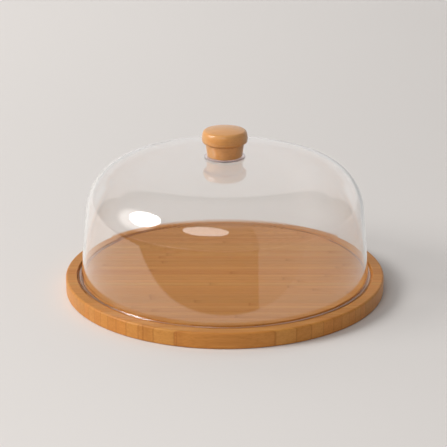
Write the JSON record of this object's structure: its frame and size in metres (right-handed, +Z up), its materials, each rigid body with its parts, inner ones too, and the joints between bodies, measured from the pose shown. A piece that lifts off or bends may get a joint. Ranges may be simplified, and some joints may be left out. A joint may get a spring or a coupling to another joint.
{
  "type": "cake stand with dome",
  "caption": "Round bamboo serving board with a ring groove, a clear lift-off dome that stands in the groove, and a turned bamboo knob held by a screw from below.",
  "frame": {"origin": "centre of the board's underside, on the axis that every piece is turned about", "axes": "+Z up along the axis of board, dome and knob; +X along the board's strips; -Y towards the viewer of the picture"},
  "size_m": [0.3, 0.3, 0.155],
  "materials": {
    "board_bamboo": "oiled bamboo strips glued side by side, satin",
    "dome_clear": "clear moulded plastic, polished",
    "gasket_clear": "clear soft plastic, satin",
    "knob_bamboo": "turned bamboo, lacquered",
    "insert_brass": "machined and knurled",
    "hardware_steel": "stainless"
  },
  "bodies": {
    "board": {"board": "board_bamboo"},
    "gasket": {"knob_gasket": "gasket_clear"},
    "dome": {"dome": "dome_clear", "knob": "knob_bamboo", "knob_insert": "insert_brass"},
    "washer": {"inner_washer": "hardware_steel"},
    "screw": {"knob_screw": "hardware_steel"}
  },
  "joints": [
    {"name": "dome_lift", "type": "slide", "parent": "board", "child": "gasket", "axis": [0, 0, 1], "range_m": [0, 0.18]},
    {"name": "dome_turn", "type": "hinge", "parent": "gasket", "child": "dome", "pos_m": [0, 0, 0.127], "axis": [0, 0, 1], "continuous": true},
    {"name": "screw_withdraw", "type": "slide", "parent": "dome", "child": "washer", "axis": [0, 0, -1], "range_m": [0, 0.012]},
    {"name": "screw_turn", "type": "hinge", "parent": "washer", "child": "screw", "pos_m": [0, 0, 0.1243], "axis": [0, 0, 1], "range_deg": [-5400, 0]}
  ],
  "couplings": [
    {"joint": "screw_turn", "follows": "screw_withdraw", "rad_per_m": -7854}
  ]
}
